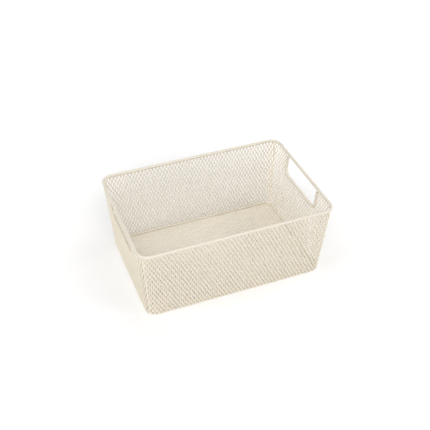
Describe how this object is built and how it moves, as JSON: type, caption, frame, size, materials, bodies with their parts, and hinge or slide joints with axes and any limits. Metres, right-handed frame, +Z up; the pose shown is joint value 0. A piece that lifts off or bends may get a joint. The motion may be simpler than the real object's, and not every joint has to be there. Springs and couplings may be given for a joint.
{
  "type": "wire locker basket",
  "caption": "Open tapered basket of diamond expanded-metal mesh with a round wire rim and a hand-hole in each short end, for storage in a locker or on a shelf.",
  "frame": {"origin": "centre of the bounding box's base, on the surface that the floor mesh rests on", "axes": "+X along the basket's length towards one hand-hole, +Z up through the open top; +Y is towards the back long wall"},
  "size_m": [0.315, 0.2136, 0.13],
  "materials": {
    "mesh_coat": "warm ivory powder coat, semi-gloss",
    "wire_coat": "warm ivory powder coat, semi-gloss"
  },
  "bodies": {
    "root": {"front_wall_mesh": "mesh_coat", "back_wall_mesh": "mesh_coat", "left_wall_mesh": "mesh_coat", "right_wall_mesh": "mesh_coat", "floor_mesh": "mesh_coat", "floor_edge": "mesh_coat", "rim_wire": "wire_coat", "left_handle_wire": "wire_coat", "right_handle_wire": "wire_coat"}
  },
  "joints": []
}
